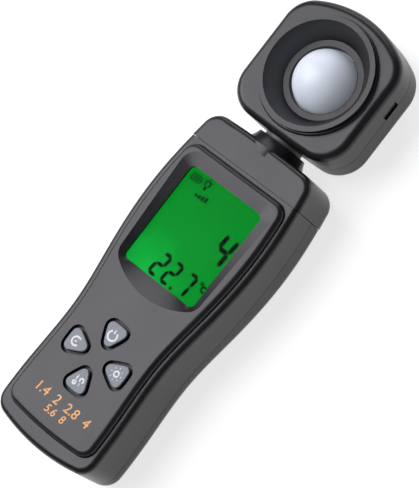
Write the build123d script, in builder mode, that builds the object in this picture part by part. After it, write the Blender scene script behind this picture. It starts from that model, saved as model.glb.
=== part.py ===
"""Handheld light meter: a two-shell handset with a display and four keys, and a sensor head that swivels
on a hollow spindle.  It lies on its back: +X is the user's right, +Y runs from the foot of the handset to
the head, and +Z comes out of the front.  The origin is under the middle of the whole length."""

from build123d import *
import os
from math import cos, radians, sin, tan

os.makedirs("parts", exist_ok=True)

# Lengths along the meter
casing_length = 120.3
cap_height = 12.2
neck_height = 3.3
washer_gap = 1.4
head_height = 51.8
seam_gap = 0.2
fit_gap = 0.15
body_gap = 0.3

foot_y = -(casing_length + cap_height + neck_height + washer_gap + head_height) / 2
gap_y = foot_y + casing_length
cap_top_y = gap_y + cap_height
bell_top_y = cap_top_y + neck_height
head_foot_y = bell_top_y + washer_gap
head_top_y = head_foot_y + head_height

# Handset shells: half widths at stations along the handset, depth, walls and roundings
tail_half = 21.3
tail_y = foot_y - 10.0
grip_half = 23.4
grip_y = foot_y + 28.0
waist_half = 22.9
waist_y = foot_y + 49.5
flank_half = 25.5
flank_y = gap_y - 49.8
belly_half = 27.7
belly_y = gap_y - 24.3
shoulder_half = 25.9
beyond_half = 23.0
beyond_y = gap_y + 15.0
tail_trim = 3.0
clear_reach = 60.0
side_stations = [
    (tail_half, tail_y),
    (grip_half, grip_y),
    (waist_half, waist_y),
    (flank_half, flank_y),
    (belly_half, belly_y),
    (shoulder_half, gap_y),
    (beyond_half, beyond_y),
]
foot_sagitta = 4.0
corner_radius = 6.8
casing_depth = 27.0
wall = 2.0
front_edge_radius = 2.3
back_edge_radius = 6.2
foot_parting_z = 8.9
chest_parting_z = 12.2

# Top cap and its neck
cap_foot_half = 26.2
cap_top_half = 24.3
cap_sagitta = 0.7
cap_plug_depth = 3.0
cap_plug_rise = 1.0
cap_root_depth = 10.0
cap_join = 0.5
cap_plug_wall = 1.4
cap_wall = 3.4
neck_foot_radius = 12.0
neck_top_radius = 9.8
neck_root_depth = 4.0
neck_step_drop = 0.9
neck_waist_reach = 0.75
neck_waist_rise = 1.4
ear_thickness = 1.4
ear_reach = 8.0

# Face panel on the front of the handset
panel_inset = 2.9
panel_top_y = gap_y - 1.4
panel_foot_y = foot_y + 6.6
panel_foot_sagitta = 1.9
panel_corner = 5.4
panel_rise = 2.3
panel_seat_depth = 1.0
panel_edge_radius = 2.0
panel_wall = 1.6
panel_edge_wall = 0.4

# Display: opening, dished surround, window, glass, light guide
display_width = 34.2
display_length = 40.2
display_top_y = gap_y - 8.6
display_corner = 2.0
display_sag = 0.02
dish_depth = 1.2
dish_half = 21.7
dish_foot_half = 19.6
dish_top_y = gap_y - 3.6
dish_sag = 6.9
dish_corner = 6.0
lip_under_dish = 1.0
window_thickness = 0.8
window_overlap = 2.2
window_room = 1.0
window_corner = 1.0
stack_gap = 0.1
glass_thickness = 2.6
glass_overlap = 1.4
glass_ledge = 2.5
light_guide_thickness = 3.0
light_guide_margin = 1.0
strip_margin = 3.0
strip_width = 2.0
strip_set_in = 1.5
frame_wall = 0.9
frame_height = 5.08

# Keys
key_ring_y = foot_y + 37.9
key_offset = 9.0
key_width = 8.3
key_length = 8.6
key_rise = 0.4
key_travel = 0.8
well_gap = 1.3
flange_extra = 2.0
flange_thickness = 1.0
key_bulge = 0.45
key_corner = 2.0
key_base_spread = 0.84
key_base_rise = 0.24
key_point_drop = 1.24
key_edge_radius = 0.35
key_stem_radius = 2.6
key_stem_gap = 0.2

# Circuit board and keypad mat
board_thickness = 1.6
board_inset = 3.4
board_top_gap = 1.0
board_corners = (3.0, 2.0)
mat_thickness = 1.0
mat_wall = 0.8
mat_collar_height = 3.2
mat_corner = 3.0

# Parts on the board's back: the middle of each from the display's middle, then its width and length
round_package_radius = 5.0
round_package_step = 9.0
round_package_height = 1.2
package_height = 1.6
packages = [
    (8.0, -10.0, 5.0, 4.0),
    (-8.0, 13.0, 3.8, 8.0),
    (-10.0, -13.0, 3.2, 1.6),
    (-14.0, 4.0, 1.6, 3.2),
]

# Battery compartment, cells, door
cell_radius = 5.15
cell_length = 43.7
cell_nub_radius = 1.9
cell_nub_length = 0.8
cell_pitch = 11.0
cell_count = 3
bay_foot_y = foot_y + 8.0
spring_length = 3.6
spring_wire = 0.5
spring_end = 0.3
spring_turns = 4
spring_radius = 2.4
plate_thickness = 0.4
plate_width = 9.0
plate_corner = 1.0
bay_wall = 1.4
bay_side_gap = 0.5
door_thickness = 2.0
door_half = 15.0
rail_width = 1.1
rail_lip = 0.8
grip_mark_width = 14.0
grip_mark_depth = 0.5
grip_mark_pitch = 2.0
grip_mark_count = 5
grip_mark_drop = 9.0
door_set_back = 1.0

# Screws
screw_chamfer_share = 0.3
cross_length_share = 1.2
cross_width_share = 0.3
cross_depth_share = 0.6
screw_head_radius = 2.4
screw_head_height = 1.7
screw_shank_radius = 1.25
screw_well_depth = 0.9
screw_floor = 1.5
screw_length = 9.5
pass_gap = 0.2
boss_flare = 0.4
label_width = 30.0
label_length = 34.0
label_corner = 2.0
label_depth = 0.4
label_thickness = 0.25
label_gap = 0.2
boss_radius = 2.5
small_head_radius = 1.8
small_head_height = 1.2
small_shank_radius = 0.9
small_boss_radius = 1.9
small_screw_length = 4.5
boss_space = 1.5
high_boss_space = 0.7
high_screw_x = 12.0
mid_tie_x = 9.0
mid_tie_drop = 1.0
foot_tie_x = 13.5
foot_tie_rise = 15.0
shank_gap = 0.5

# Sensor head
head_half = 26.0
head_corner = 12.0
head_top_sagitta = 8.8
head_foot_sagitta = 0.7
swivel_z = 15.4
head_front_depth = 11.2
head_back_depth = 10.6
head_front_edge = 3.0
head_back_edge = 4.0
eye_y = head_foot_y + 25.4
collar_rise = 2.7
collar_radius = 21.6
collar_root = 0.8
mouth_radius = 19.7
funnel_foot_radius = 15.0
funnel_depth = 7.8
ring_thickness = 1.9
ring_bore = 12.4
lip_plate_thickness = 1.2
dome_radius = 12.1
dome_wall = 1.2
dome_stand_out = 1.0
dome_flange_radius = 14.2
dome_flange_thickness = 1.4
slot_length = 6.9
slot_width = 3.3
slot_y = head_foot_y + 30.5
hook_thickness = 1.2
hook_recess = 0.9
hook_root = 2.5
head_well_depth = 3.6
ring_edge_radius = 0.4
ring_gap = 0.05
head_rear_extra = 0.4

# Sensor parts
holder_thickness = 3.0
sensor_board_radius = 18.2
sensor_board_flat = 12.4
diode_size = 7.0
diode_height = 1.6
sensor_screw_circle = 16.2
head_screw_length = 6.0
filter_radius = 4.6
filter_thickness = 1.1

# Swivel
spindle_radius = 4.5
spindle_bore = 2.5
running_fit = 0.08
flange_half = 6.4
spindle_flange = 2.5
clamp_half = 11.0
clamp_wall = 1.3
clamp_overrun = 1.0
clip_radius = 6.6
clip_thickness = 0.8
clip_gap = 0.05
wave_thickness = 0.6
washer_radius = 7.7
lead_radius = 0.9
journal_wall = 1.6
journal_length = 11.0
journal_set_back = 1.0
spindle_tip = 1.5
lead_meet_depth = 2.0
lead_meet_gap = 0.1
lead_clearance = 0.4
lead_side_step = 4.0
lead_drop = 1.4
lead_tail_length = 9.0
lead_run_in = 3.0
lead_run_out = 12.0
plug_distance = 20.0
plug_wall = 1.2
plug_width = 7.5
plug_length = 6.0
groove_depth = 0.8
running_gap = 1.0

# Places and heights worked out from the sizes above
neck_root_y = cap_top_y - neck_root_depth
neck_step_y = cap_top_y - neck_step_drop
front_z = casing_depth
panel_z = front_z + panel_rise
panel_seat_z = front_z - panel_seat_depth
panel_under_z = panel_z - panel_wall
dish_z = panel_z - dish_depth
window_z = dish_z - lip_under_dish
glass_z = window_z - window_thickness - stack_gap
guide_z = glass_z - glass_thickness
board_z = guide_z - light_guide_thickness
board_back_z = board_z - board_thickness
display_mid_y = display_top_y - display_length / 2
cell_z = door_thickness + body_gap + cell_radius
bay_roof_z = cell_z + cell_radius + body_gap
bay_half = cell_pitch * (cell_count - 1) / 2 + cell_radius + bay_side_gap
bay_top_y = bay_foot_y + 2 * plate_thickness + spring_length + cell_length + cell_nub_length
head_front_z = swivel_z + head_front_depth
head_back_z = swivel_z - head_back_depth
collar_z = head_front_z + collar_rise
funnel_z = collar_z - funnel_depth
ring_foot_z = funnel_z - ring_thickness
lip_plate_z = ring_foot_z - lip_plate_thickness
dome_centre_z = collar_z + dome_stand_out - dome_radius
flange_top_z = lip_plate_z - ring_gap
holder_top_z = flange_top_z - dome_flange_thickness
sensor_board_z = holder_top_z - holder_thickness
journal_foot_y = bell_top_y - journal_length
groove_y = journal_foot_y - wave_thickness - clip_thickness - 3 * running_fit
wave_y = groove_y + clip_thickness + 2 * running_fit
groove_width = clip_thickness + running_fit
spindle_foot_y = groove_y - spindle_tip
lead_meet_y = bell_top_y - lead_meet_depth
lead_pad_z = sensor_board_z - board_thickness - lead_radius - lead_clearance
plug_top_y = spindle_foot_y - plug_distance
lead_plug_z = swivel_z - lead_drop
plug_foot_z = lead_plug_z - lead_radius - plug_wall
swivel_plane = Plane.XY.offset(swivel_z)
swivel_axis = Axis((0, 0, swivel_z), (0, 1, 0))
eye_plane = Plane(origin=(0, eye_y, 0), x_dir=(1, 0, 0), z_dir=(0, -1, 0))
eye_axis = Axis((0, eye_y, 0), (0, 0, 1))


def save(piece, name):
    """Label a finished piece and write it under its node name."""
    piece.label = name
    export_step(piece, f"parts/{name}.step")


def end_region(low_y, sagitta, high_y):
    """Wide face between a bowed lower edge and a straight upper edge, used to end a plan outline."""
    reach = clear_reach
    bow = sagitta * (reach / grip_half) ** 2
    with BuildSketch() as region:
        with BuildLine():
            ThreePointArc((-reach, low_y + bow), (0, low_y), (reach, low_y + bow))
            Polyline((reach, low_y + bow), (reach, high_y), (-reach, high_y), (-reach, low_y + bow))
        make_face()
    return region.sketch


def handset_plan(inset, low_y, sagitta, high_y, radii):
    """Plan outline of the handset drawn in by inset; radii are those of its foot and top corners."""
    with BuildSketch() as plan:
        with BuildLine():
            side = Spline(*[(half - inset, y) for half, y in side_stations])
            mirror(side, about=Plane.YZ)
            Line(side @ 0, (inset - tail_half, tail_y))
            Line(side @ 1, (inset - beyond_half, beyond_y))
        make_face()
        add(end_region(low_y, sagitta, high_y), mode=Mode.INTERSECT)
        if radii[0] > 0:
            fillet(plan.vertices().sort_by(Axis.Y)[:2], radii[0])
        if radii[1] > 0:
            fillet(plan.vertices().sort_by(Axis.Y)[-2:], radii[1])
    return plan.sketch


def cap_plan(inset, low_y):
    """Plan outline of the top cap drawn in by inset and carried down to low_y."""
    slope = (cap_foot_half - cap_top_half) / cap_height
    low_half = cap_foot_half + slope * (gap_y - low_y) - inset
    shoulder_y = cap_top_y - cap_sagitta - inset
    with BuildSketch() as plan:
        with BuildLine():
            Polyline(
                (-cap_top_half + inset, shoulder_y),
                (-low_half, low_y),
                (low_half, low_y),
                (cap_top_half - inset, shoulder_y),
            )
            ThreePointArc(
                (cap_top_half - inset, shoulder_y),
                (0, cap_top_y - inset),
                (-cap_top_half + inset, shoulder_y),
            )
        make_face()
        fillet(plan.vertices().sort_by(Axis.Y)[-2:], corner_radius - inset)
    return plan.sketch


def rounded_block(plan, low_z, high_z, back_radius, front_radius):
    """Straight-sided block over a plan outline with rounded back edges and, if asked, front edges."""
    with BuildPart() as block:
        with BuildSketch(Plane.XY.offset(low_z)):
            add(plan)
        extrude(amount=high_z - low_z)
        fillet(block.edges().group_by(Axis.Z)[0], back_radius)
        if front_radius > 0:
            fillet(block.edges().group_by(Axis.Z)[-1], front_radius)
    return block.part


def above_parting(shift):
    """Everything in front of the handset's curved parting surface, moved forward by shift."""
    with BuildPart() as region:
        with BuildSketch(Plane.YZ.offset(-clear_reach)):
            with BuildLine():
                Line((tail_y, foot_parting_z + shift), (waist_y, foot_parting_z + shift))
                Spline(
                    (waist_y, foot_parting_z + shift),
                    (belly_y, chest_parting_z + shift),
                    tangents=((1, 0), (1, 0)),
                )
                Polyline(
                    (belly_y, chest_parting_z + shift),
                    (beyond_y, chest_parting_z + shift),
                    (beyond_y, 2 * casing_depth),
                    (tail_y, 2 * casing_depth),
                    (tail_y, foot_parting_z + shift),
                )
            make_face()
        extrude(amount=2 * clear_reach)
    return region.part


def plug_block(inset):
    """Block that fits inside the mouth of the handset shells and reaches into the cap, drawn in by inset."""
    with BuildPart() as block:
        add(
            rounded_block(
                handset_plan(wall + inset, flank_y, foot_sagitta, gap_y + cap_plug_rise, (0, 0)),
                wall + inset,
                front_z - wall - inset,
                back_edge_radius - wall - inset,
                0,
            )
        )
        with BuildSketch():
            with Locations((0, gap_y - cap_plug_depth)):
                Rectangle(casing_length, casing_length, align=(Align.CENTER, Align.MAX))
        extrude(amount=front_z, mode=Mode.SUBTRACT)
    return block.part


def panel_plan(inset):
    """Plan outline of the raised face panel drawn in by inset."""
    return handset_plan(
        panel_inset + inset,
        panel_foot_y + inset,
        panel_foot_sagitta,
        panel_top_y - inset,
        (panel_corner - inset, panel_corner - inset),
    )


def dish_plan(half_top, half_foot, top_y, side_foot_y, foot_mid_y, radius):
    """Four-sided outline with rounded corners: the display's opening and the rim of the dish round it."""
    with BuildSketch() as plan:
        with BuildLine():
            Polyline(
                (-half_foot, side_foot_y),
                (-half_top, top_y),
                (half_top, top_y),
                (half_foot, side_foot_y),
            )
            ThreePointArc((half_foot, side_foot_y), (0, foot_mid_y), (-half_foot, side_foot_y))
        make_face()
        fillet(plan.vertices(), radius)
    return plan.sketch


def head_plan(inset):
    """Plan outline of the sensor head drawn in by inset: straight sides, bowed ends, round corners."""
    half = head_half - inset
    low_y = head_foot_y + inset
    high_y = head_top_y - inset
    with BuildSketch() as plan:
        with BuildLine():
            ThreePointArc((-half, low_y + head_foot_sagitta), (0, low_y), (half, low_y + head_foot_sagitta))
            Line((half, low_y + head_foot_sagitta), (half, high_y - head_top_sagitta))
            ThreePointArc((half, high_y - head_top_sagitta), (0, high_y), (-half, high_y - head_top_sagitta))
            Line((-half, high_y - head_top_sagitta), (-half, low_y + head_foot_sagitta))
        make_face()
        fillet(plan.vertices(), head_corner - inset)
    return plan.sketch


def clamp_pocket():
    """Room for the spindle and its square flange inside the head's clamp."""
    with BuildPart() as pocket:
        with BuildSketch(swivel_plane):
            with Locations((0, head_foot_y - clamp_overrun)):
                Rectangle(spindle_radius + fit_gap, clamp_length + wall + 2 * clamp_overrun, align=Align.MIN)
        revolve(axis=swivel_axis)
        with BuildSketch(swivel_plane):
            with Locations((0, flange_y)):
                Rectangle(2 * (flange_half + fit_gap), spindle_flange + 2 * fit_gap)
        extrude(amount=flange_half + fit_gap, both=True)
    return pocket.part


def key_plan(centre, turn, growth):
    """Rounded triangle of a key with bowed sides, its point towards the middle of the ring of keys."""
    half = key_width / 2 + key_base_spread
    high = key_length / 2 + key_base_rise
    low = -key_length / 2 - key_point_drop
    across = (cos(radians(turn)), sin(radians(turn)), 0)
    with BuildSketch(Plane((*centre, 0), x_dir=across)) as plan:
        with BuildLine():
            ThreePointArc((half, high), (0, high + key_bulge), (-half, high))
            ThreePointArc((-half, high), (-half / 2 - key_bulge, (high + low) / 2), (0, low))
            ThreePointArc((0, low), (half / 2 + key_bulge, (high + low) / 2), (half, high))
        make_face()
        fillet(plan.vertices(), key_corner)
        if growth > 0:
            offset(amount=growth)
    return plan.sketch


def screw(centre, head_z, head_radius, head_height, shank_radius, length):
    """Pan-head screw driven forward from behind, with a cross slot in its head."""
    with BuildPart() as fastener:
        with BuildSketch(Plane.XY.offset(head_z)):
            with Locations(centre):
                Circle(head_radius)
        extrude(amount=head_height)
        chamfer(fastener.edges().group_by(Axis.Z)[0], head_height * screw_chamfer_share)
        with BuildSketch(Plane.XY.offset(head_z + head_height)):
            with Locations(centre):
                Circle(shank_radius)
        extrude(amount=length)
        with BuildSketch(Plane.XY.offset(head_z)):
            with Locations(centre):
                Rectangle(head_radius * cross_length_share, head_radius * cross_width_share)
                Rectangle(head_radius * cross_width_share, head_radius * cross_length_share)
        extrude(amount=head_height * cross_depth_share, mode=Mode.SUBTRACT)
    return fastener.part


# Where the screws, cells and keys stand
door_top_y = bay_top_y - door_set_back
label_y = (bay_top_y + gap_y) / 2
grip_mark_y = door_top_y - grip_mark_drop
low_screw_x = waist_half - wall - boss_radius - boss_space
low_screw_y = bay_top_y + bay_wall + boss_radius + boss_space
high_screw_y = gap_y - boss_radius - high_boss_space
mid_tie_y = low_screw_y - mid_tie_drop
foot_tie_y = foot_y + foot_tie_rise
casing_screws_at = [(-low_screw_x, low_screw_y), (low_screw_x, low_screw_y)]
casing_screws_at += [(-high_screw_x, high_screw_y), (high_screw_x, high_screw_y)]
board_screws_at = [(-mid_tie_x, mid_tie_y), (mid_tie_x, mid_tie_y)]
board_screws_at += [(-foot_tie_x, foot_tie_y), (foot_tie_x, foot_tie_y)]
cell_xs = [cell_pitch * (n - (cell_count - 1) / 2) for n in range(cell_count)]
keys_at = {
    "power_key": ((0, key_ring_y + key_offset), 0),
    "mode_key": ((-key_offset, key_ring_y), 90),
    "temperature_key": ((0, key_ring_y - key_offset), 180),
    "unit_key": ((key_offset, key_ring_y), 270),
}
rear_boss_z = screw_well_depth + screw_head_height + screw_floor
ear_z = rear_boss_z
window_width = display_width + 2 * window_overlap
window_length = display_length + 2 * window_overlap
glass_width = display_width + 2 * glass_overlap
glass_length = display_length + 2 * glass_overlap
frame_bore_width = glass_width + 2 * stack_gap
frame_bore_length = glass_length + 2 * stack_gap
flange_z = panel_under_z - body_gap - flange_thickness
key_stem_z = board_z + key_travel + key_stem_gap
mat_width = 2 * (key_offset + key_width)
opening_plan = dish_plan(
    display_width / 2,
    display_width / 2,
    display_top_y,
    display_top_y - display_length,
    display_top_y - display_length - display_sag,
    display_corner,
)
dish_rim_plan = dish_plan(
    dish_half,
    dish_foot_half,
    dish_top_y,
    display_top_y - display_length,
    display_top_y - display_length - dish_sag,
    dish_corner,
)
board_top_y = gap_y - cap_plug_depth - board_top_gap
board_plan = handset_plan(board_inset, foot_y + board_inset, foot_sagitta, board_top_y, board_corners)
clamp_foot_y = head_foot_y + wall / 2
clamp_length = wall / 2 + spindle_flange + 2 * (fit_gap + clamp_wall)
flange_y = head_foot_y + wall + clamp_wall + fit_gap + spindle_flange / 2
head_screws_at = [(side * (flange_half + clamp_half) / 2, flange_y) for side in (-1, 1)]
sensor_screws_at = [
    (sensor_screw_circle * cos(radians(angle)), eye_y + sensor_screw_circle * sin(radians(angle)))
    for angle in (30, 90, 150)
]
cell_ways = [1 if n % 2 else -1 for n in range(cell_count)]

# Solids shared by several pieces
with BuildPart() as casing_block:
    add(
        rounded_block(
            handset_plan(0, foot_y, foot_sagitta, beyond_y - tail_trim, (corner_radius, 0)),
            0,
            front_z,
            back_edge_radius,
            front_edge_radius,
        )
    )
    with BuildSketch():
        with Locations((0, gap_y - seam_gap / 2)):
            Rectangle(casing_length, casing_length, align=(Align.CENTER, Align.MIN))
    extrude(amount=front_z, mode=Mode.SUBTRACT)
casing_outer = casing_block.part
casing_cavity = rounded_block(
    handset_plan(wall, foot_y + wall, foot_sagitta, beyond_y - tail_trim, (corner_radius - wall, 0)),
    wall,
    front_z - wall,
    back_edge_radius - wall,
    0,
)

# Front casing: front half of the handset, with the seat of the face panel and its screw bosses
with BuildPart() as front_casing:
    add(casing_outer)
    add(casing_cavity, mode=Mode.SUBTRACT)
    add(above_parting(seam_gap / 2), mode=Mode.INTERSECT)
    with BuildSketch(Plane.XY.offset(panel_seat_z)):
        add(panel_plan(-fit_gap))
    extrude(amount=casing_depth, mode=Mode.SUBTRACT)
    with BuildSketch(Plane.XY.offset(front_z - wall)):
        with Locations((0, display_mid_y)):
            Rectangle(window_width + window_room, window_length + window_room)
        with Locations((0, key_ring_y)):
            Rectangle(mat_width, mat_width)
    extrude(amount=wall, mode=Mode.SUBTRACT)
    with BuildSketch(Plane.XY.offset(board_z)):
        with Locations(*board_screws_at):
            Circle(small_boss_radius)
    extrude(amount=front_z - wall - board_z + wall / 4)
    with BuildSketch(Plane.XY.offset(ear_z + ear_thickness)):
        with Locations(*casing_screws_at):
            Circle(boss_radius)
    extrude(amount=front_z - wall - ear_z - ear_thickness + wall / 4)
    with BuildSketch(Plane.XY.offset(ear_z)):
        with Locations(*casing_screws_at):
            Circle(screw_shank_radius)
    extrude(amount=screw_length, mode=Mode.SUBTRACT)
    with BuildSketch(Plane.XY.offset(board_z)):
        with Locations(*board_screws_at):
            Circle(small_shank_radius)
    extrude(amount=small_screw_length - board_thickness, mode=Mode.SUBTRACT)
save(front_casing.part, "front_casing")

# Rear casing: back half, with the battery bay, the door's rails and the screw wells
with BuildPart() as rear_casing:
    add(casing_outer)
    add(casing_cavity, mode=Mode.SUBTRACT)
    add(above_parting(-seam_gap / 2), mode=Mode.SUBTRACT)
    with BuildSketch(Plane.XY.offset(wall)):
        with Locations((0, (bay_foot_y + bay_top_y) / 2)):
            Rectangle(2 * (bay_half + bay_wall), bay_top_y - bay_foot_y + 2 * bay_wall)
    extrude(amount=bay_roof_z + bay_wall - wall)
    with BuildSketch():
        with Locations((0, (bay_foot_y + bay_top_y) / 2)):
            Rectangle(2 * bay_half, bay_top_y - bay_foot_y)
    extrude(amount=bay_roof_z, mode=Mode.SUBTRACT)
    with BuildSketch():
        with Locations((0, (bay_foot_y + bay_top_y) / 2)):
            Rectangle(2 * (bay_half + bay_wall), bay_top_y - bay_foot_y + 2 * bay_wall)
    extrude(amount=wall)
    with BuildSketch(Plane.XY.offset(wall / 2)):
        with Locations(*casing_screws_at):
            Circle(boss_radius + boss_flare)
    extrude(amount=rear_boss_z - wall / 2)
    add(casing_outer, mode=Mode.INTERSECT)
    with BuildSketch():
        with Locations((0, label_y)):
            RectangleRounded(label_width, label_length, label_corner)
    extrude(amount=label_depth, mode=Mode.SUBTRACT)
    with BuildSketch():
        with Locations((0, door_top_y)):
            Rectangle(2 * (door_half + fit_gap), casing_length, align=(Align.CENTER, Align.MAX))
    extrude(amount=wall, mode=Mode.SUBTRACT)
    with BuildSketch(Plane.XY.offset(rail_lip)):
        with Locations((0, door_top_y)):
            Rectangle(2 * (door_half + rail_width + fit_gap), casing_length, align=(Align.CENTER, Align.MAX))
    extrude(amount=wall - rail_lip, mode=Mode.SUBTRACT)
    with BuildSketch():
        with Locations(*casing_screws_at):
            Circle(screw_head_radius + pass_gap)
    extrude(amount=rear_boss_z - screw_floor, mode=Mode.SUBTRACT)
    with BuildSketch():
        with Locations(*casing_screws_at):
            Circle(screw_shank_radius + pass_gap)
    extrude(amount=rear_boss_z, mode=Mode.SUBTRACT)
save(rear_casing.part, "rear_casing")

# Rating label: a bare plate in its recess on the back
with BuildPart() as rating_label:
    with BuildSketch(Plane.XY.offset(label_depth - label_thickness)):
        with Locations((0, label_y)):
            RectangleRounded(
                label_width - 2 * label_gap,
                label_length - 2 * label_gap,
                label_corner - label_gap,
            )
    extrude(amount=label_thickness)
save(rating_label.part, "rating_label")

# Battery door: the lower middle of the back, drawn off towards the foot along two rails
with BuildPart() as battery_door:
    add(casing_outer)
    with BuildSketch():
        with Locations((0, door_top_y - fit_gap)):
            Rectangle(2 * door_half, casing_length, align=(Align.CENTER, Align.MAX))
    extrude(amount=door_thickness - fit_gap, mode=Mode.INTERSECT)
    with BuildSketch(Plane.XY.offset(rail_lip + fit_gap)):
        with Locations((0, door_top_y - fit_gap)):
            Rectangle(
                2 * (door_half + rail_width),
                door_top_y - foot_y - corner_radius,
                align=(Align.CENTER, Align.MAX),
            )
    extrude(amount=door_thickness - rail_lip - 2 * fit_gap)
    with BuildSketch():
        with Locations((0, grip_mark_y)):
            with GridLocations(0, grip_mark_pitch, 1, grip_mark_count):
                Rectangle(grip_mark_width, grip_mark_pitch / 2)
    extrude(amount=grip_mark_depth, mode=Mode.SUBTRACT)
save(battery_door.part, "battery_door")

# Top cap: closes the handset and carries the neck; its plug and ears are held inside the two shells
with BuildPart() as top_cap:
    add(rounded_block(cap_plan(0, gap_y - cap_root_depth), 0, front_z, back_edge_radius, front_edge_radius))
    with BuildSketch():
        with Locations((0, gap_y + seam_gap / 2)):
            Rectangle(casing_length, casing_length, align=(Align.CENTER, Align.MAX))
    extrude(amount=front_z, mode=Mode.SUBTRACT)
    with BuildSketch(swivel_plane):
        with BuildLine():
            Polyline((0, neck_root_y), (neck_foot_radius, neck_root_y), (neck_foot_radius, neck_step_y))
            ThreePointArc(
                (neck_foot_radius, neck_step_y),
                (neck_top_radius + neck_waist_reach, cap_top_y + neck_waist_rise),
                (neck_top_radius, bell_top_y),
            )
            Polyline((neck_top_radius, bell_top_y), (0, bell_top_y), (0, neck_root_y))
        make_face()
    revolve(axis=swivel_axis)
    add(
        rounded_block(
            cap_plan(cap_wall, gap_y - cap_root_depth),
            cap_wall,
            front_z - cap_wall,
            back_edge_radius - cap_wall,
            0,
        ),
        mode=Mode.SUBTRACT,
    )
    add(plug_block(fit_gap))
    add(plug_block(fit_gap + cap_plug_wall), mode=Mode.SUBTRACT)
    with BuildSketch():
        with Locations((-high_screw_x, high_screw_y), (high_screw_x, high_screw_y)):
            Circle(boss_radius + boss_flare + body_gap)
    extrude(amount=front_z, mode=Mode.SUBTRACT)
    with BuildSketch(Plane.XY.offset(ear_z)):
        with Locations((-high_screw_x, high_screw_y), (high_screw_x, high_screw_y)):
            Rectangle(2 * boss_radius, ear_reach, align=(Align.CENTER, Align.MIN))
            Circle(boss_radius)
    extrude(amount=ear_thickness)
    with BuildSketch(Plane.XY.offset(cap_wall - cap_join)):
        with Locations((-high_screw_x, high_screw_y + ear_reach), (high_screw_x, high_screw_y + ear_reach)):
            Rectangle(2 * boss_radius, ear_reach / 2, align=(Align.CENTER, Align.MAX))
    extrude(amount=ear_z + ear_thickness - cap_wall + cap_join)
    with BuildSketch():
        with Locations((-high_screw_x, high_screw_y), (high_screw_x, high_screw_y)):
            Circle(screw_shank_radius + pass_gap)
    extrude(amount=front_z, mode=Mode.SUBTRACT)
    with BuildSketch(swivel_plane):
        with Locations((0, journal_foot_y)):
            Rectangle(
                spindle_radius + journal_wall,
                bell_top_y - journal_foot_y - journal_set_back,
                align=Align.MIN,
            )
    revolve(axis=swivel_axis)
    with BuildSketch(swivel_plane):
        with Locations((0, journal_foot_y)):
            Rectangle(spindle_radius + running_fit, bell_top_y - journal_foot_y, align=Align.MIN)
    revolve(axis=swivel_axis, mode=Mode.SUBTRACT)
save(top_cap.part, "top_cap")

# Face panel: raised front plate with the dished surround of the display and the four key wells
with BuildPart() as face_panel:
    with BuildSketch(Plane.XY.offset(panel_seat_z)):
        add(panel_plan(0))
    extrude(amount=panel_z - panel_seat_z)
    fillet(face_panel.edges().group_by(Axis.Z)[-1], panel_edge_radius)
    with BuildSketch(Plane.XY.offset(panel_seat_z)):
        add(panel_plan(panel_edge_radius + panel_edge_wall))
    extrude(amount=panel_under_z - panel_seat_z, mode=Mode.SUBTRACT)
    with BuildSketch(Plane.XY.offset(window_z)):
        with Locations((0, display_mid_y)):
            Rectangle(window_width + 2 * panel_wall, window_length + 2 * panel_wall)
    extrude(amount=panel_under_z - window_z)
    with BuildSketch(Plane.XY.offset(dish_z)):
        add(opening_plan)
    with BuildSketch(Plane.XY.offset(panel_z)):
        add(dish_rim_plan)
    loft(mode=Mode.SUBTRACT)
    with BuildSketch(Plane.XY.offset(panel_seat_z)):
        add(opening_plan)
    extrude(amount=casing_depth, mode=Mode.SUBTRACT)
    with BuildSketch(Plane.XY.offset(panel_seat_z)):
        for centre, turn in keys_at.values():
            add(key_plan(centre, turn, well_gap))
    extrude(amount=casing_depth, mode=Mode.SUBTRACT)
save(face_panel.part, "face_panel")

# Display stack: window under the panel, liquid-crystal glass, light guide, its frame and its contact strip
with BuildPart() as display_window:
    with BuildSketch(Plane.XY.offset(window_z - window_thickness)):
        with Locations((0, display_mid_y)):
            RectangleRounded(window_width, window_length, window_corner)
    extrude(amount=window_thickness)
save(display_window.part, "display_window")

with BuildPart() as display_glass:
    with BuildSketch(Plane.XY.offset(guide_z)):
        with Locations((0, display_mid_y)):
            Rectangle(glass_width, glass_length)
    extrude(amount=glass_thickness / 2)
    with BuildSketch(Plane.XY.offset(guide_z + glass_thickness / 2)):
        with Locations((0, display_mid_y - glass_ledge / 2)):
            Rectangle(glass_width, glass_length - glass_ledge)
    extrude(amount=glass_thickness / 2)
save(display_glass.part, "display_glass")

with BuildPart() as display_backlight:
    with BuildSketch(Plane.XY.offset(board_z)):
        with Locations((0, display_mid_y - glass_ledge)):
            Rectangle(glass_width - light_guide_margin, glass_length - 2 * glass_ledge)
    extrude(amount=light_guide_thickness)
save(display_backlight.part, "display_backlight")

with BuildPart() as contact_strip:
    with BuildSketch(Plane.XY.offset(board_z)):
        with Locations((0, display_mid_y + glass_length / 2 - strip_set_in)):
            Rectangle(glass_width - strip_margin, strip_width)
    extrude(amount=light_guide_thickness)
save(contact_strip.part, "contact_strip")

with BuildPart() as display_frame:
    with BuildSketch(Plane.XY.offset(board_z)):
        with Locations((0, display_mid_y)):
            Rectangle(frame_bore_width + 2 * frame_wall, frame_bore_length + 2 * frame_wall)
            Rectangle(frame_bore_width, frame_bore_length, mode=Mode.SUBTRACT)
    extrude(amount=frame_height)
save(display_frame.part, "display_frame")

# Keys: each has a round-edged cap in its well, a flange behind the panel and a stem to its contact
for key_name, (centre, turn) in keys_at.items():
    with BuildPart() as key:
        with BuildSketch(Plane.XY.offset(flange_z)):
            add(key_plan(centre, turn, 0))
        extrude(amount=panel_z + key_rise - flange_z)
        fillet(key.edges().group_by(Axis.Z)[-1], key_edge_radius)
        with BuildSketch(Plane.XY.offset(flange_z)):
            add(key_plan(centre, turn, flange_extra))
        extrude(amount=flange_thickness)
        with BuildSketch(Plane.XY.offset(key_stem_z)):
            with Locations(centre):
                Circle(key_stem_radius)
        extrude(amount=flange_z - key_stem_z)
    save(key.part, key_name)

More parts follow.
